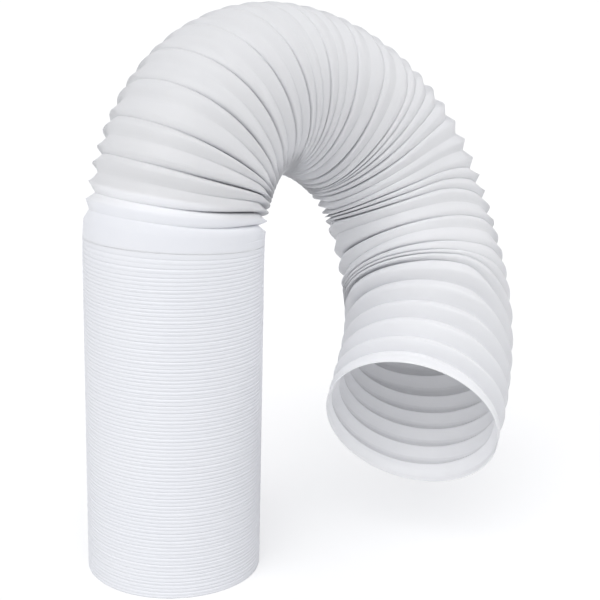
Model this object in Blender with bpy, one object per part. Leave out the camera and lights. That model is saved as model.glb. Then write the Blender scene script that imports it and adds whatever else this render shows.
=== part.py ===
"""Air conditioner exhaust hose: a spirally wound, pleated plastic tube of 13 cm (5 inch).

The hose stands on one end. Its lower stretch is pushed together, so that its pleats are
packed into a straight, stiff leg. The rest is drawn out into folds and arches up, over to
+X and forward, and its open mouth hangs in the air, facing the front (-Y) and down.

Origin: on the floor, under the middle of the hose's overall width and depth. +Z is up.
Lengths are in metres.
"""

import math

import bmesh
import bpy
import numpy as np
from mathutils import Vector

# The tube's section: PLEAT is the width of film from a ridge to the next crease
OUTER_DIAMETER = 0.130
FILM_WALL = 0.0010
PLEAT = 0.0099
LEAST_FOLD_DEPTH = 0.0012

# The packed leg, from the floor up, and how far the packed pleats go on into the arch
LEG_HEIGHT = 0.229
PACKED_INTO_ARCH = 0.022

# The plain band at the mouth
MOUTH_BAND = 0.006

# The radius that is left inside the tightest bend
INNER_BEND_RADIUS = 0.023

# Where the hose points after each stretch of the arch: its lean from straight up and its
# heading about Z from +X, both in degrees. Each stretch is STRETCH bend radii long.
STRETCH = 0.79
ARCH_DIRECTIONS = [
    (27, 54),
    (68, 52),
    (103, 35),
    (132, 19),
    (156, -31),
    (139, -79),
    (126, -102),
    (119, -109),
]

# Where the creases of the drawn-out strip lie: the number of a turn, counted from the packed
# ones on, and its place in stretches of the arch. On the outer side and at the back they lie
# evenly. Along the front the listed ones stay shut and those between them are pulled open.
EVEN_CREASES = [
    (1, 0.48), (11, 1.80), (20, 3.10), (28, 4.37), (36, 5.73), (41, 6.63), (44, 7.55), (47, 8.34),
]
FRONT_CREASES = [
    (1, 0.48), (2, 0.60), (4, 0.85), (6, 1.12), (8, 1.40), (10, 1.64), (12, 1.92), (14, 2.26), (17, 2.70),
    (20, 3.12), (22, 3.48), (24, 3.83), (25, 3.93), (26, 4.04), (27, 4.17), (28, 4.32), (31, 4.79),
    (32, 4.91), (33, 5.01), (35, 5.49), (37, 5.98), (38, 6.13), (39, 6.21), (40, 6.30), (41, 6.63),
    (42, 6.98), (43, 7.27), (44, 7.57), (45, 7.82), (46, 8.08), (47, 8.34),
]

# The front: its lean from straight up and its heading, and between which angles before and
# after it, in degrees, the places of its creases and its shallower depths fade out
FRONT = (76, -92)
FRONT_CREASES_FADE = ((-75, -20), (75, 130))
SHALLOW_FADE = ((-82, -48), (60, 100))

# How much of its depth a shut crease and an open one loses at the front, and how much nearer
# the ridges lie to the shut ones there
SHUT_LOSS = 0.45
OPEN_LOSS = 0.82
HELD_TOGETHER = 0.16

# How finely the solid is cut
SIDES = 24
ROUTE_STEPS = 400

WHITE_PLASTIC = (0.86, 0.87, 0.89, 1.0)

OUTER_RADIUS = OUTER_DIAMETER / 2
STRETCH_LENGTH = STRETCH * (OUTER_RADIUS + INNER_BEND_RADIUS)


def clear_scene():
    for obj in list(bpy.data.objects):
        bpy.data.objects.remove(obj, do_unlink=True)


def direction(lean, heading):
    """The unit vector that leans this far from +Z towards this heading."""
    lean, heading = math.radians(lean), math.radians(heading)
    flat = math.sin(lean)
    return np.array([flat * math.cos(heading), flat * math.sin(heading), math.cos(lean)])


def smooth_directions(count):
    """The hose's direction at evenly spaced places of the arch, with no sudden bend.

    Between two stations the direction follows a cubic that leaves each of them the way
    that its neighbours point, and the first one leaves straight up.
    """
    stations = np.array([direction(0, 0)] + [direction(*pair) for pair in ARCH_DIRECTIONS])
    slopes = np.gradient(stations, axis=0)
    slopes[0] = 0
    place = np.linspace(0, len(ARCH_DIRECTIONS), count)
    index = np.minimum(place.astype(int), len(ARCH_DIRECTIONS) - 1)
    t = (place - index)[:, None]
    curve = (
        (2 * t**3 - 3 * t**2 + 1) * stations[index]
        + (t**3 - 2 * t**2 + t) * slopes[index]
        + (3 * t**2 - 2 * t**3) * stations[index + 1]
        + (t**3 - t**2) * slopes[index + 1]
    )
    return curve / np.linalg.norm(curve, axis=1)[:, None]


def carried_sides(forward):
    """One sideways vector for each place, carried along so that it never spins."""
    side = Vector((1, 0, 0))
    sides = [side.copy()]
    for before, after in zip(forward[:-1], forward[1:]):
        side.rotate(Vector(before).rotation_difference(Vector(after)))
        sides.append(side.copy())
    return np.array(sides)


class Route:
    """The hose's centreline: its points, its directions and how sharply it bends."""

    def __init__(self):
        arch_length = len(ARCH_DIRECTIONS) * STRETCH_LENGTH
        arch = np.linspace(LEG_HEIGHT, LEG_HEIGHT + arch_length, ROUTE_STEPS)
        self.along = np.concatenate([[0], arch])
        self.length = self.along[-1]
        self.forward = np.concatenate([[[0, 0, 1]], smooth_directions(ROUTE_STEPS)])
        self.side = carried_sides(self.forward)
        steps = np.diff(self.along)[:, None]
        halfway = (self.forward[1:] + self.forward[:-1]) / 2
        self.points = np.concatenate([[[0, 0, 0]], np.cumsum(halfway * steps, axis=0)])
        self.turning = np.concatenate([np.diff(self.forward, axis=0) / steps, [[0, 0, 0]]])

    def read(self, values, along):
        columns = [np.interp(along, self.along, values[:, axis]) for axis in range(3)]
        return np.stack(columns, axis=-1)

    def outward(self, along, angle):
        """The unit vectors from the centreline towards these sides of the hose."""
        side, forward = self.read(self.side, along), self.read(self.forward, along)
        across = np.cross(forward, side)
        outward = np.cos(angle)[:, None] * side + np.sin(angle)[:, None] * across
        return outward / np.linalg.norm(outward, axis=1)[:, None]

    def at(self, along, angle, radius):
        """The points at these lengths, angles and distances from the centreline."""
        return self.read(self.points, along) + radius[:, None] * self.outward(along, angle)

    def opened(self, along, angle):
        """How much longer than its centreline the hose is along this side of a bend."""
        turning = self.read(self.turning, along)
        return 1 - OUTER_RADIUS * np.sum(turning * self.outward(along, angle), axis=1)


def smooth_step(values, start, end):
    """0 before the start, 1 after the end and a smooth climb between them."""
    t = np.clip((values - start) / (end - start), 0, 1)
    return t * t * (3 - 2 * t)


def near_front(turned, before, after):
    """1 at the front, falling to 0 between the two angles before it and the two after it."""
    return smooth_step(turned, *before) * (1 - smooth_step(turned, *after))


class Folds:
    """Where the creases and ridges of the wound strip lie on the route.

    The strip is wound the left-hand way: a crease climbs by one turn's pitch while its angle
    falls by a whole turn. The listed places are those along the front, so on another side of
    the hose a crease lies higher or lower by the angle's share of a turn.
    """

    def __init__(self, route):
        self.route = route
        across = np.cross(route.forward, route.side)
        front = direction(*FRONT)
        self.front = np.unwrap(np.arctan2(across @ front, route.side @ front))
        self.even = self.levels(EVEN_CREASES)
        self.listed = self.levels(FRONT_CREASES)
        self.shut = [turn for turn, place in FRONT_CREASES]

    def levels(self, creases):
        """The listed turns as they would count at angle 0, and the lengths where they lie."""
        turns, places = np.array([(0, PACKED_INTO_ARCH / STRETCH_LENGTH)] + creases).T
        places = LEG_HEIGHT + STRETCH_LENGTH * places
        return turns - np.interp(places, self.route.along, self.front) / (2 * math.pi), places

    def from_front(self, along, angle):
        """The angle from the front, in degrees between -180 and 180."""
        turned = angle - np.interp(along, self.route.along, self.front)
        return np.degrees((turned + math.pi) % (2 * math.pi) - math.pi)

    def crease(self, turn, angle):
        """The length at which this turn's crease lies, on this side of the hose."""
        level = turn - angle / (2 * math.pi)
        even = np.interp(level, *self.even)
        share = near_front(self.from_front(even, angle), *FRONT_CREASES_FADE)
        return even + share * (np.interp(level, *self.listed) - even)

    def at_front(self, turn, angle):
        """How near the front this turn's crease lies, and whether it is an open one."""
        level = turn - angle / (2 * math.pi)
        even = np.interp(level, *self.even)
        turned = self.from_front(even, angle)
        number = level + np.interp(even, self.route.along, self.front) / (2 * math.pi) + turned / 360
        return near_front(turned, *SHALLOW_FADE), ~np.isin(np.round(number), self.shut)

    def ridge(self, turn, angle):
        """The length of the ridge between this turn's crease and the next one's."""
        lower, upper = self.crease(turn, angle), self.crease(turn + 1, angle)
        near, lower_open = self.at_front(turn, angle)
        above, upper_open = self.at_front(turn + 1, angle)
        share = 0.5 + HELD_TOGETHER * (near * lower_open - above * upper_open)
        return lower + share * (upper - lower)

    def depth(self, turn, angle):
        """How deep a fold is: half its width and its depth span the width of one pleat."""
        along = self.crease(turn, angle)
        width = self.ridge(turn, angle) - self.ridge(turn - 1, angle)
        half = width / 2 * self.route.opened(along, angle)
        depth = np.sqrt(np.maximum(PLEAT**2 - half**2, LEAST_FOLD_DEPTH**2))
        near, is_open = self.at_front(turn, angle)
        return depth * (1 - near * np.where(is_open, OPEN_LOSS, SHUT_LOSS))


def add_points(mesh, points):
    return [mesh.verts.new(point) for point in points]


def add_ring(mesh, route, along, radius):
    """One closed ring of points square to the route."""
    angles = 2 * math.pi * np.arange(SIDES) / SIDES
    return add_points(mesh, route.at(np.full(SIDES, along), angles, np.full(SIDES, radius)))


def join_rings(mesh, lower, upper):
    for index in range(SIDES):
        after = (index + 1) % SIDES
        mesh.faces.new((lower[index], lower[after], upper[after], upper[index]))


def wound_lines(folds, first, last, crest_radius):
    """The points of a crease line and of the ridge line above it, wound the left-hand way.

    They climb as the angle falls, from the first turn to the last. In its first turn the
    crease comes down from the ridges, and in their last one both end at half depth.
    """
    route = folds.route
    step = np.arange((last - first) * SIDES + 1)
    angle = -2 * math.pi * step / SIDES
    turn = np.full(len(step), first)
    from_start = np.clip(step / SIDES, 0, 1)
    to_end = np.clip(1 - (len(step) - 1 - step) / SIDES, 0, 1)
    depth = folds.depth(turn, angle)
    sunk = from_start * (1 - to_end / 2)
    creases = route.at(folds.crease(turn, angle), angle, crest_radius - sunk * depth)
    ridges = route.at(folds.ridge(turn, angle), angle, crest_radius - to_end / 2 * depth)
    return creases, ridges


def add_wound_wall(mesh, folds, first, last, crest_radius, lower, upper):
    """The folded wall between two plain rings, made of one crease line and one ridge line."""
    crease, ridge = (add_points(mesh, line) for line in wound_lines(folds, first, last, crest_radius))
    end = len(crease) - 1
    for step in range(end):
        mesh.faces.new((crease[step + 1], crease[step], ridge[step], ridge[step + 1]))
    for step in range(end - SIDES):
        above = step + SIDES
        mesh.faces.new((ridge[step + 1], ridge[step], crease[above], crease[above + 1]))
    for step in range(SIDES):
        here, after = -step % SIDES, -(step + 1) % SIDES
        mesh.faces.new((lower[after], lower[here], crease[step], crease[step + 1]))
        top = end - SIDES + step
        mesh.faces.new((ridge[top + 1], ridge[top], upper[here], upper[after]))
    # The small steps where the first turn begins and where the last one ends
    mesh.faces.new((lower[0], crease[SIDES], ridge[0], crease[0]))
    mesh.faces.new((upper[0], ridge[end - SIDES], crease[end], ridge[end]))


def add_skin(mesh, folds, leg_radius, crest_radius):
    """One face of the hose's wall from end to end; its first and last ring are returned."""
    route = folds.route
    packed_end, band_start = LEG_HEIGHT + PACKED_INTO_ARCH, route.length - MOUTH_BAND
    first = math.ceil(np.interp(packed_end, folds.even[1], folds.even[0]) + 0.1)
    last = math.floor(np.interp(band_start, folds.even[1], folds.even[0]) - 0.6)
    foot = add_ring(mesh, route, 0, leg_radius)
    leg_top = add_ring(mesh, route, LEG_HEIGHT, leg_radius)
    packed_top = add_ring(mesh, route, packed_end, leg_radius)
    band = add_ring(mesh, route, band_start, crest_radius)
    mouth = add_ring(mesh, route, route.length, crest_radius)
    join_rings(mesh, foot, leg_top)
    join_rings(mesh, leg_top, packed_top)
    add_wound_wall(mesh, folds, first, last, crest_radius, packed_top, band)
    join_rings(mesh, band, mouth)
    return foot, mouth


def centre_over_origin(mesh):
    """Moves the mesh sideways so that its overall width and depth lie even about the origin."""
    points = np.array([vert.co for vert in mesh.verts])
    middle = (points.min(axis=0) + points.max(axis=0)) / 2
    bmesh.ops.translate(mesh, verts=mesh.verts, vec=(-middle[0], -middle[1], 0))


def build_hose():
    route = Route()
    folds = Folds(route)
    mesh = bmesh.new()
    foot, mouth = add_skin(mesh, folds, OUTER_RADIUS, OUTER_RADIUS)
    bore_foot, bore_mouth = add_skin(mesh, folds, OUTER_RADIUS - PLEAT, OUTER_RADIUS - FILM_WALL)
    join_rings(mesh, bore_foot, foot)
    join_rings(mesh, mouth, bore_mouth)
    bmesh.ops.recalc_face_normals(mesh, faces=mesh.faces)
    bmesh.ops.triangulate(mesh, faces=mesh.faces)
    centre_over_origin(mesh)
    data = bpy.data.meshes.new("exhaust_hose")
    mesh.to_mesh(data)
    mesh.free()
    data.shade_smooth()
    data.set_sharp_from_angle(angle=math.radians(50))
    hose = bpy.data.objects.new("exhaust_hose", data)
    bpy.context.collection.objects.link(hose)
    return hose


def plastic(name, colour, roughness):
    material = bpy.data.materials.new(name)
    material.use_nodes = True
    shader = material.node_tree.nodes["Principled BSDF"]
    shader.inputs["Base Color"].default_value = colour
    shader.inputs["Roughness"].default_value = roughness
    shader.inputs["Metallic"].default_value = 0.0
    return material


clear_scene()
exhaust_hose = build_hose()
exhaust_hose.data.materials.append(plastic("white_plastic", WHITE_PLASTIC, 0.45))
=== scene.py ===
# %% [markdown]
# The exhaust hose of a portable air conditioner
#
# The hose is one long strip of white plastic film, wound into a tube and locked edge to edge.
# Its lower stretch is pushed together into a stiff leg of fine pleats. The rest is drawn out
# and arches over, and there each turn of the strip shows as a fold, deep and narrow inside a
# bend, wide and pointed outside it, and all alike towards the open mouth.
#
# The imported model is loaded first. It fixes the size and the place of everything here.

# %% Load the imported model
import math

import bpy
import numpy as np
from mathutils import Matrix, Vector


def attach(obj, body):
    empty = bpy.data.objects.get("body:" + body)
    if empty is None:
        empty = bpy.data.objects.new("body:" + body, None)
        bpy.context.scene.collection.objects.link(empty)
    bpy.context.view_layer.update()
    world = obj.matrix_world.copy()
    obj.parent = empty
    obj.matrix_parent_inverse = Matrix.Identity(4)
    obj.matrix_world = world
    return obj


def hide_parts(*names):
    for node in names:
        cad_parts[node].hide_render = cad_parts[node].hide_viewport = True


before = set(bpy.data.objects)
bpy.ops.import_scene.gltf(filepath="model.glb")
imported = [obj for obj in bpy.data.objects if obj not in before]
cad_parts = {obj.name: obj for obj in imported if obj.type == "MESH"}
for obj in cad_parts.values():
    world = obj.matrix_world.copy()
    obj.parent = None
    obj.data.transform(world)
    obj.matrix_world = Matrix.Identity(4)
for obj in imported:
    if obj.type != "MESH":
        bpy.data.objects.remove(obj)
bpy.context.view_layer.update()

# %% [markdown]
# The hose's centreline is straight in the leg and then follows a short list of directions,
# the same ones that the solid was made from. A Bezier curve could give such a line too, but
# its handles would have to be set by hand, and the folds need the line's own length and
# turning at every place. So a cubic runs through the directions, which never lets the hose
# kink, and is added up into arrays: where the line is, where it points and how it turns.

# %% Where the hose goes
HOSE_RADIUS = 0.065
INNER_BEND_RADIUS = 0.023
LEG_HEIGHT = 0.229
# One stretch of the arch: an eighth of a turn round the tightest bend
STRETCH = 0.79 * (HOSE_RADIUS + INNER_BEND_RADIUS)
# The hose's direction at the end of each stretch of the arch: its lean from straight up and
# its heading, in degrees
ARCH_DIRECTIONS = [
    (27, 54), (68, 52), (103, 35), (132, 19), (156, -31), (139, -79), (126, -102), (119, -109),
]
ROUTE_STEPS = 1600
LEG_STEPS = 100
STRAIGHT_UP = [0.0, 0.0, 1.0]


def unit(vectors):
    """Each vector divided by its own length."""
    return vectors / np.linalg.norm(vectors, axis=-1, keepdims=True)


def directions(leans, headings):
    """Unit vectors: the lean from straight up is the polar angle, the heading the one about Z."""
    leans, headings = np.radians(leans), np.radians(headings)
    flat = np.sin(leans)
    return np.stack([flat * np.cos(headings), flat * np.sin(headings), np.cos(leans)], axis=-1)


def smooth_directions(stations, count):
    """A cubic between neighbouring stations whose slope at each is half the step between its
    neighbours: (2t3 - 3t2 + 1) a + (t3 - 2t2 + t) slope a + (3t2 - 2t3) b + (t3 - t2) slope b."""
    slopes = np.gradient(stations, axis=0)
    slopes[0] = 0
    place = np.linspace(0, len(stations) - 1, count)
    index = np.minimum(place.astype(int), len(stations) - 2)
    t = (place - index)[:, None]
    curve = (2 * t**3 - 3 * t**2 + 1) * stations[index] + (t**3 - 2 * t**2 + t) * slopes[index]
    curve += (3 * t**2 - 2 * t**3) * stations[index + 1] + (t**3 - t**2) * slopes[index + 1]
    return unit(curve)


# Points this little above the lowest one belong to the lowest ring
LOWEST_RING = 0.0001


def foot_centre():
    """The middle of the solid model's lowest ring."""
    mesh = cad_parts["exhaust_hose"].data
    points = np.empty(3 * len(mesh.vertices), np.float32)
    mesh.vertices.foreach_get("co", points)
    points = points.reshape(-1, 3)
    low = points[points[:, 2] < points[:, 2].min() + LOWEST_RING]
    middle = (low.min(axis=0) + low.max(axis=0)) / 2
    return np.array([middle[0], middle[1], 0.0])


stations = np.concatenate([[STRAIGHT_UP], directions(*np.array(ARCH_DIRECTIONS, float).T)])
FOOT = foot_centre()
ARCH_LENGTH = len(ARCH_DIRECTIONS) * STRETCH
HOSE_LENGTH = LEG_HEIGHT + ARCH_LENGTH
arch = np.linspace(LEG_HEIGHT, HOSE_LENGTH, ROUTE_STEPS)
leg = np.linspace(0, LEG_HEIGHT, LEG_STEPS, endpoint=False)
route_along = np.concatenate([leg, arch])
arch_forward = smooth_directions(stations, ROUTE_STEPS)
route_forward = np.concatenate([np.tile(STRAIGHT_UP, (LEG_STEPS, 1)), arch_forward])
steps = np.diff(route_along)[:, None]
halfway = (route_forward[1:] + route_forward[:-1]) / 2
route_points = FOOT + np.concatenate([[[0, 0, 0]], np.cumsum(halfway * steps, axis=0)])
route_turning = np.gradient(route_forward, route_along, axis=0)
route_bend = np.linalg.norm(route_turning, axis=1)
print(f"the hose is {HOSE_LENGTH:.3f} m long and its tightest bend has {1 / route_bend.max():.3f} m")

# %% [markdown]
# A place on the hose is given by its length along the centreline and its angle round it.
# The angle needs a sideways direction that turns along with the hose and never jumps. It
# could be carried on from one step to the next, but here one fixed vector is enough, made
# square to the line at each place, because the hose never points that way.

# %% Round the hose
NEVER_ALONG = np.array([0.8, -0.6, 0.0])
route_side = unit(NEVER_ALONG - (route_forward @ NEVER_ALONG)[:, None] * route_forward)
route_across = np.cross(route_forward, route_side)


def read(values, along):
    """The route's vectors at these lengths, by straight interpolation between its steps."""
    return np.stack([np.interp(along, route_along, values[:, axis]) for axis in range(3)], axis=-1)


def outward(along, angle):
    """cos(angle) times the side vector plus sin(angle) times the one across it."""
    side, across = read(route_side, along), read(route_across, along)
    return unit(np.cos(angle)[..., None] * side + np.sin(angle)[..., None] * across)


def on_hose(along, angle, radius):
    """The centreline's point plus the radius times the outward vector."""
    return read(route_points, along) + radius[..., None] * outward(along, angle)


def opened(along, angle):
    """How much longer the hose is here than along its centreline: one minus the radius times
    the part of the turning that points outward."""
    return 1 - HOSE_RADIUS * np.sum(read(route_turning, along) * outward(along, angle), axis=-1)


def smooth_step(values, start, end):
    """0 before start, 1 after end and 3t2 - 2t3 between them."""
    t = np.clip((values - start) / (end - start), 0, 1)
    return t * t * (3 - 2 * t)


# %% [markdown]
# The camera stands where the photograph was taken from. Its place was worked out from the
# leg, which is a straight cylinder of known width. It is set by three turns rather than aimed
# at a point, because the photograph's horizon leans a little.

# %% Camera
FOCAL_PIXELS = 1224.5
IMAGE_PIXELS = 600
SENSOR_WIDTH = 36.0
CAMERA_PLACE = FOOT + np.array([0.0703, -0.8625, 0.4273])
TURNED_RIGHT, TILTED_DOWN, ROLLED = np.radians([1.40, 14.39, 1.41])


def camera_axes(turned, tilted, rolled):
    """Right, up and forward: the level camera turned, tilted down and then rolled about its
    own forward axis."""
    ahead = math.cos(tilted)
    forward = np.array([math.sin(turned) * ahead, math.cos(turned) * ahead, -math.sin(tilted)])
    level = np.array([math.cos(turned), -math.sin(turned), 0.0])
    above = np.cross(level, forward)
    right = math.cos(rolled) * level + math.sin(rolled) * above
    up = math.cos(rolled) * above - math.sin(rolled) * level
    return right, up, forward


right, up, forward = camera_axes(TURNED_RIGHT, TILTED_DOWN, ROLLED)
camera_data = bpy.data.cameras.new("camera")
camera_data.sensor_fit = "HORIZONTAL"
camera_data.sensor_width = SENSOR_WIDTH
camera_data.lens = SENSOR_WIDTH * FOCAL_PIXELS / IMAGE_PIXELS
camera = bpy.data.objects.new("camera", camera_data)
turned_camera = Matrix((right, up, -forward)).transposed().to_4x4()
camera.matrix_world = Matrix.Translation(CAMERA_PLACE.tolist()) @ turned_camera
bpy.context.scene.collection.objects.link(camera)
bpy.context.scene.camera = camera
print(f"the lens is {camera_data.lens:.1f} mm")

# %% [markdown]
# The folds are the turns of one helix, wound the left-hand way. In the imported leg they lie
# 2.65 mm apart. In the drawn-out part they lie evenly on the outer side and at the back, but
# along the front some creases stay shut, deep and dark, and between two of these lie one or
# two more that have opened. An array of equal rings couldn't show that. So there are two
# short lists. They are the solid's own up to the last bend, and near the mouth the folds were
# measured once more, closer. Each entry is the number of a turn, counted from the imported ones
# on, and its place, counted in stretches of the arch.

# %% Count the turns
PACKED_PITCH = 0.00265
PACKED_INTO_ARCH = 0.022
EVEN_CREASES = [
    (1, 0.48), (11, 1.80), (20, 3.10), (28, 4.37), (36, 5.73), (39, 6.33), (41, 6.87), (44, 7.50),
    (46, 7.99), (48, 8.50),
]
FRONT_CREASES = [
    (1, 0.48), (2, 0.60), (4, 0.85), (6, 1.12), (8, 1.40), (10, 1.64), (12, 1.92), (14, 2.26), (17, 2.70),
    (20, 3.12), (22, 3.48), (24, 3.83), (25, 3.93), (26, 4.04), (27, 4.17), (28, 4.32), (31, 4.79),
    (32, 4.91), (33, 5.01), (35, 5.49), (37, 5.98), (38, 6.13), (39, 6.21), (40, 6.30), (41, 6.60),
    (42, 6.94), (43, 7.23), (44, 7.53), (45, 7.77), (46, 8.03), (47, 8.30),
]
# The direction that the front faces, by its lean from straight up and its heading
FRONT = directions(76, -92)
# Degrees round the hose, counted from the front, where the front's list and its open folds
# come in, and where they go out again
FRONT_CREASES_FADE = ((-75, -20), (75, 130))
OPEN_FOLDS_FADE = ((-81, -54), (62, 94))

PACKED_TOP = LEG_HEIGHT + PACKED_INTO_ARCH
route_front = np.unwrap(np.arctan2(route_across @ FRONT, route_side @ FRONT))


def counted(creases):
    """The lengths of the listed creases, and their turns less the front's share of a turn. The
    packed turns come before them."""
    turns, places = np.array(creases, float).T
    turns = np.concatenate([[-PACKED_TOP / PACKED_PITCH, 0], turns])
    places = np.concatenate([[0, PACKED_TOP], LEG_HEIGHT + STRETCH * places])
    return places, turns - np.interp(places, route_along, route_front) / (2 * np.pi)


even_places, even_levels = counted(EVEN_CREASES)
front_places, front_levels = counted(FRONT_CREASES)
shut_turns = [turn for turn, place in FRONT_CREASES]
drawn_turns = np.interp(len(ARCH_DIRECTIONS), *np.array(EVEN_CREASES).T[::-1])
print(f"{PACKED_TOP / PACKED_PITCH:.0f} turns are packed, and {drawn_turns:.0f} are drawn out")

# %% [markdown]
# Each crease winds on round the hose, but not as a perfect helix: inside the bends the
# creases are drawn together into bundles, and everywhere they wander a little. A Displace
# modifier with noise could shift the points too, but it would crumple the flanks as well.
# This shift moves the creases themselves. It depends only on the place along the helix and
# on the angle, so the strip stays in one piece.

# %% Where each crease runs
WANDER = 0.0007
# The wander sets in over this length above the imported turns, and most of it goes near the mouth
WANDER_SETS_IN = 0.02
WANDER_CALMS = (0.66, 0.70)
CALMED_BY = 0.6
WAVES_PER_TURN = np.array([0.47, 0.62, 1.37, 1.58])
rng = np.random.default_rng(5)
WAVE_STARTS = rng.uniform(0, 2 * np.pi, (4, len(WAVES_PER_TURN)))
# The four sines together seldom reach further than this
WAVES_REACH = 2.6
# How far a ridge leans towards the crease that is shut, as a share of the turn
HELD_TOGETHER = 0.16
# Each bundle: its place along the hose in stretches, its angle from the front in degrees, how
# far it reaches along the hose and round it, and how strongly it draws the creases in
BUNDLES = [
    (1.02, 85, 0.58, 45, 0.55),
    (3.94, 75, 0.43, 55, 0.80),
    (4.80, 75, 0.29, 45, 0.70),
    (5.98, 70, 0.43, 50, 0.60),
]


def slow_waves(turns, kind):
    """A sum of four sines of the turn count, between about -1 and 1."""
    phases = 2 * np.pi * turns[..., None] * WAVES_PER_TURN + WAVE_STARTS[kind]
    return np.sin(phases).sum(axis=-1) / WAVES_REACH


def from_front(along, angle):
    """The angle from the front of the hose, in degrees between -180 and 180."""
    turned = angle - np.interp(along, route_along, route_front)
    return np.degrees((turned + np.pi) % (2 * np.pi) - np.pi)


def near_front(turned, before, after):
    """1 at the front, falling to 0 between the two angles before it and the two after it."""
    return smooth_step(turned, *before) * (1 - smooth_step(turned, *after))


def valley(turn, angle):
    """The length at which this turn's crease lies at this angle. It is looked up in the even
    list and in the front's, at the turn less the angle's share of one, then moved towards
    each bundle and shaken a little."""
    level = turn - angle / (2 * np.pi)
    along = np.interp(level, even_levels, even_places)
    turned = from_front(along, angle)
    listed = np.interp(level, front_levels, front_places)
    along = along + near_front(turned, *FRONT_CREASES_FADE) * (listed - along)
    moved = along.copy()
    for place, middle, reach, spread, strength in BUNDLES:
        beyond = along - LEG_HEIGHT - STRETCH * place
        near = np.exp(-((beyond / (STRETCH * reach)) ** 2) - ((turned - middle) / spread) ** 2)
        moved -= strength * beyond * near
    loose = smooth_step(along, PACKED_TOP, PACKED_TOP + WANDER_SETS_IN)
    loose = loose * (1 - CALMED_BY * smooth_step(along, *WANDER_CALMS))
    return moved + WANDER * loose * slow_waves(level, 0)


def slack(turn, angle):
    """1 where this turn's crease has opened at the front, and 0 where it is a shut one or
    lies away from the front."""
    level = turn - angle / (2 * np.pi)
    along = np.interp(level, even_levels, even_places)
    turned = from_front(along, angle)
    number = np.round(level + np.interp(along, route_along, route_front) / (2 * np.pi) + turned / 360)
    opened_here = (number > 0) & ~np.isin(number, shut_turns)
    return near_front(turned, *OPEN_FOLDS_FADE) * opened_here


def crest(turn, angle):
    """The length of the ridge after this turn's crease: halfway to the next crease, but nearer
    to the one that is shut."""
    lower, upper = valley(turn, angle), valley(turn + 1, angle)
    share = 0.5 + HELD_TOGETHER * (slack(turn, angle) - slack(turn + 1, angle))
    return lower + share * (upper - lower)


# %% [markdown]
# The film keeps its width however far the hose is drawn out. From a ridge to a crease it is
# 9.9 mm, so a fold's depth follows from how far the ridge and the crease lie apart, by the
# rule of Pythagoras. At the back the section is a plain zigzag. At the front each turn is a
# soft shallow trough, and where its crease is shut, a narrow slit runs along the middle of it.
# The slits are deep inside the bends and fade towards the outer side. They are real geometry,
# because a bump in the material casts no shadow and leaves the outline smooth.

# %% The section of one turn
MM = 0.001
PLEAT = 9.9 * MM
# A turn that is drawn out flat still has this depth
LEAST_DEPTH = 1.6 * MM
# How deep the trough is for each millimetre from the crease to the ridge
TROUGH_SLOPE = 0.16
# A slack crease's slit is this share of a shut one's, and the power keeps slits narrow
SLACK_SLIT = 0.25
SLIT_POWER = 7.0
# How much of a slit's depth is left at each angle from the front, in degrees
SLIT_ANGLES = [-90, -78, -58, -25, 5, 35, 65]
SLIT_LEFT = [0.8, 0.5, 0.13, 0.08, 0.25, 0.68, 0.85]
# How far each row lies from the crease to the ridge, on the way up and on the way down
WAY_UP = np.array([0.0, 0.04, 0.10, 0.20, 0.42, 0.76, 1.0])
WAY_DOWN = np.array([0.76, 0.42, 0.20, 0.10, 0.04])
ROWS_PER_TURN = len(WAY_UP) + len(WAY_DOWN)


def fold_depth(half_width):
    """The root of the pleat squared less the half width squared, and never quite flat."""
    return np.sqrt(np.maximum(PLEAT**2 - half_width**2, LEAST_DEPTH**2))


def film_depth(way, half_width, shut, turned):
    """How deep the film lies between the crease (way 0) and the ridge (way 1). At the back it
    is the fold's depth times (1 - way). At the front it is a trough, half of one plus the
    cosine, and a slit, (1 - way) to a high power, a quarter as deep where the crease is slack."""
    trough = TROUGH_SLOPE * half_width * (1 + np.cos(np.pi * way)) / 2
    held = SLACK_SLIT + (1 - SLACK_SLIT) * shut
    slit = (1 - way) ** SLIT_POWER * held * np.interp(turned, SLIT_ANGLES, SLIT_LEFT)
    zigzag = fold_depth(half_width) * (1 - way)
    front = trough + fold_depth(half_width) * slit
    return zigzag + near_front(turned, *OPEN_FOLDS_FADE) * (front - zigzag)


for width in (3, 10, 16, 19.5):
    print(f"a turn drawn out to {width} mm is {fold_depth(width / 2 * MM) / MM:.1f} mm deep")

# %% [markdown]
# Towards the mouth the bends end, and the folds are all alike: plain zigzags, 6.3 mm deep.
# From the mouth's side only one flank of each shows, inside and outside, so that they look
# like flat bands between thin lines, and steps in a smooth tube could pass for them. But from
# any other side the folds show. The last flank opens out to the rim.

# %% The folds near the mouth
# Between these lengths the folds become alike, and over the flare they end at the rim
ALIKE = (0.655, 0.695)
MOUTH_DEPTH = 6.3 * MM
# The power rounds the ridges a little
MOUTH_POWER = 1.25
FLARE = 9 * MM


def mouth_depth(way, along):
    """The depth falls from the crease (way 0) to the ridge (way 1) as (1 - way) to a power a
    little over one, times the distance to the rim over the flare's length if that is less."""
    return MOUTH_DEPTH * (1 - way) ** MOUTH_POWER * np.clip((HOSE_LENGTH - along) / FLARE, 0, 1)


# %% [markdown]
# The drawn-out wall is one grid: a column for each angle, and for each turn of the strip the
# twelve rows of its section. Going once round the hose leads from one turn to the next, so
# the last column joins the first one a whole turn lower. A Screw modifier makes such a helix,
# but only a straight and even one. Both ends are cut square by holding every row between the
# first and the last length, and the film gets its thickness from a second grid inside the
# first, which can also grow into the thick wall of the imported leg.

# %% The drawn-out film
COLUMNS = 80
FILM = 0.45 * MM
# The two pieces meet a little below the last packed turn
SEAM = PACKED_TOP - 2 * MM
# How far the hose swells where the film is pulled flat, over which lengths, and how near the
# rim it draws in again
MOUTH_SWELL = 1.2 * MM
SWELLS = (0.50, 0.68)
DRAWS_IN = 22 * MM
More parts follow.
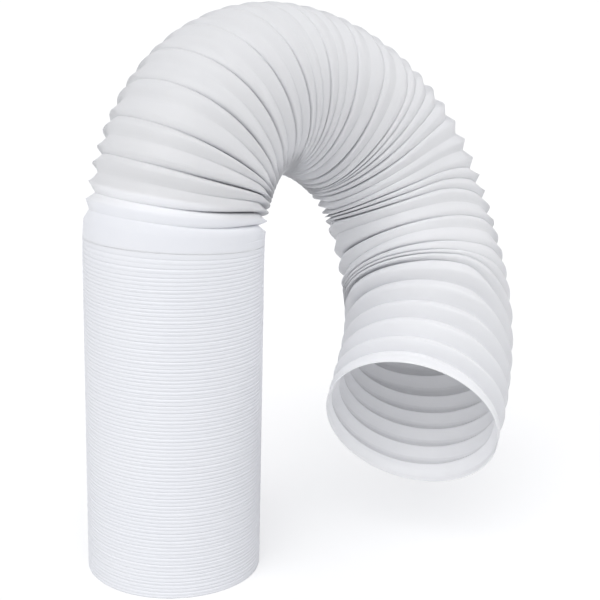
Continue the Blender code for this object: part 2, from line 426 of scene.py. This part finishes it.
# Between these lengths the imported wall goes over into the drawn-out film
DRAWN_OUT = (PACKED_TOP + 3 * MM, PACKED_TOP + 24 * MM)


def crest_radius(along):
    """The hose's radius over its ridges: it swells a little where the film is pulled flat, and
    the last stretch before the rim draws in again."""
    swell = MOUTH_SWELL * smooth_step(along, *SWELLS)
    return HOSE_RADIUS + swell * (1 - smooth_step(along, HOSE_LENGTH - DRAWS_IN, HOSE_LENGTH))


def turns_between(start, end, rows_per_turn):
    """The turns that reach between two lengths, each repeated for its rows, as a column."""
    first = np.floor(np.interp(start, even_places, even_levels)) - 1
    last = np.ceil(np.interp(end, even_places, even_levels)) + 2
    return np.repeat(np.arange(first, last), rows_per_turn)[:, None]


def round_grid(rows):
    """The columns' angles, repeated for each row."""
    return np.tile(2 * np.pi * np.arange(COLUMNS) / COLUMNS, (rows, 1))


def drawn_surface():
    """Lengths, angles, radii of the film's outer and inner face, the way from the crease and
    how far the film is drawn out, in rows by columns."""
    turn = turns_between(SEAM, HOSE_LENGTH, ROWS_PER_TURN)
    count = len(turn) // ROWS_PER_TURN
    angle = round_grid(len(turn))
    way = np.tile(np.concatenate([WAY_UP, WAY_DOWN]), count)[:, None] + 0 * angle
    rising = np.tile(np.arange(ROWS_PER_TURN) < len(WAY_UP), count)[:, None]
    # Each row belongs to the crease at the foot of its flank
    nearest = np.where(rising, turn, turn + 1) + 0 * angle
    foot, ridge = valley(nearest, angle), crest(turn + 0 * angle, angle)
    along = foot + way * (ridge - foot)
    half_width = (crest(nearest, angle) - crest(nearest - 1, angle)) / 2 * opened(foot, angle)
    turned = from_front(foot, angle)
    drawn = smooth_step(foot, *DRAWN_OUT)
    depth = drawn * film_depth(way, half_width, 1 - slack(nearest, angle), turned)
    depth += smooth_step(along, *ALIKE) * (mouth_depth(way, along) - depth)
    outer = crest_radius(along) - depth
    packed_inner = HOSE_RADIUS - PLEAT
    inner = packed_inner + drawn * (outer - FILM - packed_inner)
    return along, angle, outer, inner, way, drawn


def grid_faces(along, rows_per_turn, start, end):
    """The grid's faces as rows of four point numbers, with the rows outside the ends drawn
    together onto the end rings."""
    rows, columns = along.shape
    number = np.arange(rows * columns).reshape(rows, columns)
    number = np.where(along <= start, number[0], number)
    number = np.where(along >= end, number[-1], number)
    after = np.roll(number, -1, axis=1)
    after[:, -1] = np.concatenate([np.full(rows_per_turn, number[0, 0]), number[:-rows_per_turn, 0]])
    return np.stack([number[:-1], after[:-1], after[1:], number[1:]], axis=-1).reshape(-1, 4)


def body(name, points, faces, strip, way, drawn):
    """A mesh object from points and faces, where a face that names a point twice becomes a
    triangle and one that has no area is dropped. The strip's coordinates, the way from the
    crease to the ridge and how far the film is drawn out go along as attributes."""
    repeated = faces == np.roll(faces, -1, axis=1)
    whole = faces[~repeated.any(axis=1)]
    cornered = repeated.sum(axis=1) == 1
    triangles = faces[cornered][~repeated[cornered]].reshape(-1, 3)
    corners = np.concatenate([whole.ravel(), triangles.ravel()])
    used, renumbered = np.unique(corners, return_inverse=True)
    quads = renumbered[: whole.size].reshape(-1, 4)
    triangles = renumbered[whole.size :].reshape(-1, 3)
    mesh = bpy.data.meshes.new(name)
    mesh.from_pydata(points[used], [], quads.tolist() + triangles.tolist())
    mesh.shade_smooth()
    mesh.attributes.new("strip", "FLOAT_VECTOR", "POINT").data.foreach_set("vector", strip[used].ravel())
    for label, values in (("way", way), ("drawn", drawn)):
        mesh.attributes.new(label, "FLOAT", "POINT").data.foreach_set("value", values[used])
    piece = bpy.data.objects.new(name, mesh)
    bpy.context.scene.collection.objects.link(piece)
    print(f"{name}: {2 * len(quads) + len(triangles)} triangles")
    return piece


def wall(name, surface, rows_per_turn, start, end):
    """A closed body between an outer and an inner face, cut square at both ends. The strip's
    coordinates are a circle as wide as the hose and, as the third, the place across all the
    turns, 20 mm for each."""
    along, angle, outer, inner, way, drawn = surface
    faces = grid_faces(along, rows_per_turn, start, end)
    held = np.clip(along, start, end)
    points = [on_hose(held, angle, radius).reshape(-1, 3) for radius in (outer, inner)]
    count, columns = along.size, along.shape[1]
    across = 2 * PLEAT * (np.arange(len(along))[:, None] / rows_per_turn - angle / (2 * np.pi))
    circle = [HOSE_RADIUS * np.cos(angle), HOSE_RADIUS * np.sin(angle)]
    strip = np.stack([*circle, across], axis=-1).reshape(-1, 3)
    ring = np.arange(columns)
    after = np.roll(ring, -1)
    foot_faces = np.stack([ring, ring + count, after + count, after], axis=-1)
    top_faces = np.stack([ring, after, after + count, ring + count], axis=-1) + count - columns
    every_face = np.concatenate([faces, faces[:, ::-1] + count, foot_faces, top_faces])
    doubled = (np.tile(strip, (2, 1)), np.tile(way.ravel(), 2), np.tile(drawn.ravel(), 2))
    return body(name, np.concatenate(points), every_face, *doubled)


drawn_film = wall("drawn_film", drawn_surface(), ROWS_PER_TURN, SEAM, HOSE_LENGTH)

# %% [markdown]
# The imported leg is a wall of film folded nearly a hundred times. From outside only the
# rounded folds show, as fine rings, and from inside the folds' other edges. A plain tube
# with lines in its material would do from far off, but its outline would be too smooth. So it
# is one closed wall with a ripple on both faces, wound like the rest of the strip.

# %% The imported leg
RIPPLE = 0.40 * MM
# Each row's place in its turn, how deep it lies and how far it is from the groove
LEG_ROWS = [
    (0.0, 1.0, 0.0), (0.12, 0.34, 0.24), (0.30, 0.06, 0.6), (0.50, 0.0, 1.0), (0.70, 0.06, 0.6),
    (0.88, 0.34, 0.24),
]
# The rings are uneven: the grooves by this share, and the whole by this much
GROOVES_VARY = 0.2
RINGS_VARY = 0.1 * MM
# Over this length below the seam the rings fade into the plain collar
COLLAR_FADE = 4 * MM


def leg_surface():
    """Lengths, angles, radii of the leg's outer and inner face, the way from the groove, and
    zero for how far it is drawn out."""
    turn = turns_between(0, PACKED_TOP, len(LEG_ROWS))
    angle = round_grid(len(turn))
    place, share, way = np.tile(LEG_ROWS, (len(turn) // len(LEG_ROWS), 1)).T[..., None]
    level = turn + place - angle / (2 * np.pi)
    along = (level - even_levels[0]) * PACKED_PITCH
    plain = 1 - smooth_step(along, SEAM - COLLAR_FADE, SEAM)
    ripple = RIPPLE * share * (1 + GROOVES_VARY * slow_waves(level, 2)) * plain
    outer = HOSE_RADIUS + RINGS_VARY * slow_waves(level, 3) * plain - ripple
    return along, angle, outer, HOSE_RADIUS - PLEAT + ripple, way + 0 * angle, 0 * angle


print(f"a ring is {PACKED_PITCH / MM:.2f} mm high, with a groove {RIPPLE / MM:.2f} mm deep")
packed_leg = wall("packed_leg", leg_surface(), len(LEG_ROWS), 0.0, SEAM)

# %% [markdown]
# The film is white polypropylene, satin and a little translucent. Close to, it is never quite
# even: it has soft dents where it was folded and let go, fine lines that run along the strip
# from its making, and a raised line where the edges lock. These are heights on the surface,
# too fine for the mesh, so they are worked out in a node group that both materials share. It
# is fed from the piece's attributes, so that the lines follow the strip wherever it winds.

# %% The film's relief
# The bead's middle and half width, as shares of the way from the crease to the ridge
BEAD_MIDDLE, BEAD_HALF = 0.92, 0.06
# How many waves of noise there are to a metre, along each axis of what it is laid on. The
# lines are fine across the strip and long along it.
DENTS_PER_METRE = (70, 70, 70)
LINES_PER_METRE = (14, 14, 600)
CLOUDS_PER_METRE = (26, 26, 26)


def socket(group, name, side, kind="NodeSocketFloat"):
    group.interface.new_socket(name=name, in_out=side, socket_type=kind)


def math_node(group, operation, *values, clamp=False):
    """A math node whose inputs are numbers or sockets; its output is returned."""
    node = group.nodes.new("ShaderNodeMath")
    node.operation, node.use_clamp = operation, clamp
    for place, value in enumerate(values):
        if isinstance(value, bpy.types.NodeSocket):
            group.links.new(value, node.inputs[place])
        else:
            node.inputs[place].default_value = value
    return node.outputs["Value"]


def stretched_noise(group, coordinate, scales, detail):
    """Noise between -1 and 1, its coordinate scaled differently along each axis."""
    scaled = group.nodes.new("ShaderNodeVectorMath")
    scaled.operation = "MULTIPLY"
    scaled.inputs[1].default_value = scales
    group.links.new(coordinate, scaled.inputs[0])
    noise = group.nodes.new("ShaderNodeTexNoise")
    noise.inputs["Scale"].default_value = 1.0
    noise.inputs["Detail"].default_value = detail
    group.links.new(scaled.outputs["Vector"], noise.inputs["Vector"])
    return math_node(group, "MULTIPLY_ADD", noise.outputs["Fac"], 2.0, -1.0)


def film_relief():
    """The height is dents times their noise and, where the film is drawn out, lines times
    theirs and a bead near the ridge: one less the distance from its middle over its half
    width, and at least 0."""
    group = bpy.data.node_groups.new("film_relief", "ShaderNodeTree")
    socket(group, "Strip", "INPUT", "NodeSocketVector")
    socket(group, "Place", "INPUT", "NodeSocketVector")
    for name in ("Way", "Drawn", "Dent Height", "Line Height", "Bead Height"):
        socket(group, name, "INPUT")
    for name in ("Height", "Cloud"):
        socket(group, name, "OUTPUT")
    given = group.nodes.new("NodeGroupInput").outputs
    dents = stretched_noise(group, given["Place"], DENTS_PER_METRE, 2.0)
    lines = stretched_noise(group, given["Strip"], LINES_PER_METRE, 3.0)
    aside = math_node(group, "ABSOLUTE", math_node(group, "SUBTRACT", given["Way"], BEAD_MIDDLE))
    bead = math_node(group, "MULTIPLY_ADD", aside, -1 / BEAD_HALF, 1.0, clamp=True)
    fine = math_node(group, "MULTIPLY", lines, given["Line Height"])
    fine = math_node(group, "MULTIPLY_ADD", bead, given["Bead Height"], fine)
    height = math_node(group, "MULTIPLY", dents, given["Dent Height"])
    height = math_node(group, "MULTIPLY_ADD", fine, given["Drawn"], height)
    result = group.nodes.new("NodeGroupOutput").inputs
    group.links.new(height, result["Height"])
    cloud = stretched_noise(group, given["Place"], CLOUDS_PER_METRE, 3.0)
    group.links.new(cloud, result["Cloud"])
    return group


relief_group = film_relief()
sockets = relief_group.interface.items_tree
print("the relief group takes", [item.name for item in sockets if item.in_out == "INPUT"])

# %% [markdown]
# Each material places the group with its own heights. The clouds vary the sheen a little and
# darken the white by up to four parts in a hundred, as on handled plastic. Light passes into
# the film and out again, which softens the folds and brightens the inside of the mouth: that
# is the shader's subsurface part. The single layer is a little whiter, to make up for the
# light that passes right through it, and the white follows how thin the wall gets.

# %% White film
PACKED_WHITE = (0.86, 0.868, 0.892, 1.0)
DRAWN_WHITE = (0.92, 0.923, 0.955, 1.0)
CLOUD_TINT = (0.965, 0.97, 0.98, 1.0)
ROUGHNESS = 0.42
ROUGHNESS_VARIES = 0.08
# The power holds the whiter colour back until the wall is thin
THIN_POWER = 4.0
# How deep light goes into the film
SCATTER_DEPTH = 1.6 * MM
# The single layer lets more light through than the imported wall
FILM_SCATTERING, LEG_SCATTERING = 0.9, 0.3


def mixed(tree, kind, factor, first, second):
    """A colour mix whose factor is a socket; the colours are sockets or values."""
    node = tree.nodes.new("ShaderNodeMix")
    node.data_type, node.blend_type = "RGBA", kind
    tree.links.new(factor, node.inputs["Factor"])
    for label, value in (("A", first), ("B", second)):
        if isinstance(value, bpy.types.NodeSocket):
            tree.links.new(value, node.inputs[label])
        else:
            node.inputs[label].default_value = value
    return node.outputs["Result"]


def film_material(name, heights, scattering):
    """The relief group, fed by the piece's attributes, bends the shader's normal, and its
    clouds vary the colour and the roughness."""
    material = bpy.data.materials.new(name)
    material.use_nodes = True
    tree = material.node_tree
    shader = tree.nodes["Principled BSDF"]
    relief = tree.nodes.new("ShaderNodeGroup")
    relief.node_tree = relief_group
    for label, height in heights.items():
        relief.inputs[label].default_value = height
    attributes = {}
    for attribute, output in (("strip", "Vector"), ("way", "Fac"), ("drawn", "Fac")):
        reader = tree.nodes.new("ShaderNodeAttribute")
        reader.attribute_name = attribute
        attributes[attribute] = reader.outputs[output]
        tree.links.new(reader.outputs[output], relief.inputs[attribute.title()])
    place = tree.nodes.new("ShaderNodeTexCoord")
    tree.links.new(place.outputs["Object"], relief.inputs["Place"])
    bump = tree.nodes.new("ShaderNodeBump")
    bump.inputs["Distance"].default_value = 1.0
    tree.links.new(relief.outputs["Height"], bump.inputs["Height"])
    tree.links.new(bump.outputs["Normal"], shader.inputs["Normal"])
    cloud = math_node(tree, "MULTIPLY_ADD", relief.outputs["Cloud"], 0.5, 0.5, clamp=True)
    thin = math_node(tree, "POWER", attributes["drawn"], THIN_POWER)
    white = mixed(tree, "MIX", thin, PACKED_WHITE, DRAWN_WHITE)
    tree.links.new(mixed(tree, "MULTIPLY", cloud, white, CLOUD_TINT), shader.inputs["Base Color"])
    sheen = math_node(tree, "MULTIPLY_ADD", relief.outputs["Cloud"], ROUGHNESS_VARIES, ROUGHNESS)
    tree.links.new(sheen, shader.inputs["Roughness"])
    shader.inputs["Subsurface Weight"].default_value = scattering
    shader.inputs["Subsurface Radius"].default_value = (1.0, 1.0, 1.0)
    shader.inputs["Subsurface Scale"].default_value = SCATTER_DEPTH
    return material


drawn_heights = {"Dent Height": 0.14 * MM, "Line Height": 0.04 * MM, "Bead Height": 0.05 * MM}
packed_heights = {"Dent Height": 0.05 * MM}
drawn_white_film = film_material("drawn_white_film", drawn_heights, FILM_SCATTERING)
packed_white_film = film_material("packed_white_film", packed_heights, LEG_SCATTERING)
for piece, material in ((drawn_film, drawn_white_film), (packed_leg, packed_white_film)):
    piece.data.materials.append(material)
    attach(piece, "root")
    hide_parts("exhaust_hose")

# %% [markdown]
# The studio is a wide pale floor under an even white sky. One broad light comes from the
# front, high and to the left, like a large softbox, and a weaker one from the right. Both are
# sun lamps with wide discs, because these light the floor evenly as far as one can see, so
# that it blends into the background.

# %% Floor and light
FLOOR_RADIUS = 60.0
FLOOR_CORNERS = 96
FLOOR_ROUGHNESS = 0.9
PURE_WHITE = (1.0, 1.0, 1.0, 1.0)
# The floor as it looks, the light added to that, and how much light the floor sends back up
FLOOR_SEEN = 0.62
FLOOR_LIFT = 0.42
FLOOR_LIGHTING = 0.78
SKY_COLOUR = (0.945, 0.955, 1.0, 1.0)
SKY_STRENGTH = 0.56
# Each lamp: where it stands from the hose, how many degrees wide it is, and its strength
LAMPS = {"key": ((-0.38, -1.0, 1.2), 60, 1.58), "right": ((1.0, 0.3, 0.9), 70, 0.6)}


def split_by_camera(nodes, links, lighting, seen, output):
    """One shader for what the camera sees directly and another for the light that is given."""
    path = nodes.new("ShaderNodeLightPath")
    mix = nodes.new("ShaderNodeMixShader")
    links.new(path.outputs["Is Camera Ray"], mix.inputs["Fac"])
    links.new(lighting, mix.inputs[1])
    links.new(seen, mix.inputs[2])
    links.new(mix.outputs["Shader"], nodes[output].inputs["Surface"])


def pale_floor():
    """One flat disc, given as its rim. To the camera it is white with faint shadows, as in a
    picture whose background was cleared, and to what stands on it, it is a light grey."""
    angle = np.linspace(0, 2 * np.pi, FLOOR_CORNERS, endpoint=False)
    rim = FLOOR_RADIUS * np.stack([np.cos(angle), np.sin(angle), 0 * angle], axis=-1)
    mesh = bpy.data.meshes.new("floor")
    mesh.from_pydata(rim.tolist(), [], [list(range(FLOOR_CORNERS))])
    floor = bpy.data.objects.new("floor", mesh)
    bpy.context.scene.collection.objects.link(floor)
    material = bpy.data.materials.new("pale_floor")
    material.use_nodes = True
    nodes, links = material.node_tree.nodes, material.node_tree.links
    lighting = nodes["Principled BSDF"]
    seen = nodes.new("ShaderNodeBsdfPrincipled")
    seen.inputs["Emission Color"].default_value = PURE_WHITE
    seen.inputs["Emission Strength"].default_value = FLOOR_LIFT
    for shader, tone in ((lighting, FLOOR_LIGHTING), (seen, FLOOR_SEEN)):
        shader.inputs["Base Color"].default_value = (tone, tone, tone, 1.0)
        shader.inputs["Roughness"].default_value = FLOOR_ROUGHNESS
        shader.inputs["Specular IOR Level"].default_value = 0.0
    split_by_camera(nodes, links, lighting.outputs["BSDF"], seen.outputs["BSDF"], "Material Output")
    mesh.materials.append(material)
    return floor


def studio_sky():
    """White for the camera, and a softer, slightly cool white for everything that it lights."""
    world = bpy.data.worlds.new("studio")
    world.use_nodes = True
    nodes, links = world.node_tree.nodes, world.node_tree.links
    lit = nodes["Background"]
    lit.inputs["Color"].default_value = SKY_COLOUR
    lit.inputs["Strength"].default_value = SKY_STRENGTH
    seen = nodes.new("ShaderNodeBackground")
    seen.inputs["Color"].default_value = PURE_WHITE
    split_by_camera(nodes, links, lit.outputs["Background"], seen.outputs["Background"], "World Output")
    return world


def broad_light(name, place, spread, strength):
    """A sun lamp that shines from this direction, as a disc so many degrees wide."""
    data = bpy.data.lights.new(name, "SUN")
    data.angle = math.radians(spread)
    data.energy = strength
    light = bpy.data.objects.new(name, data)
    light.rotation_euler = (-Vector(place)).to_track_quat("-Z", "Y").to_euler()
    bpy.context.scene.collection.objects.link(light)


pale_floor()
bpy.context.scene.world = studio_sky()
for name, lamp in LAMPS.items():
    broad_light(name, *lamp)
bpy.context.scene.view_settings.view_transform = "Standard"
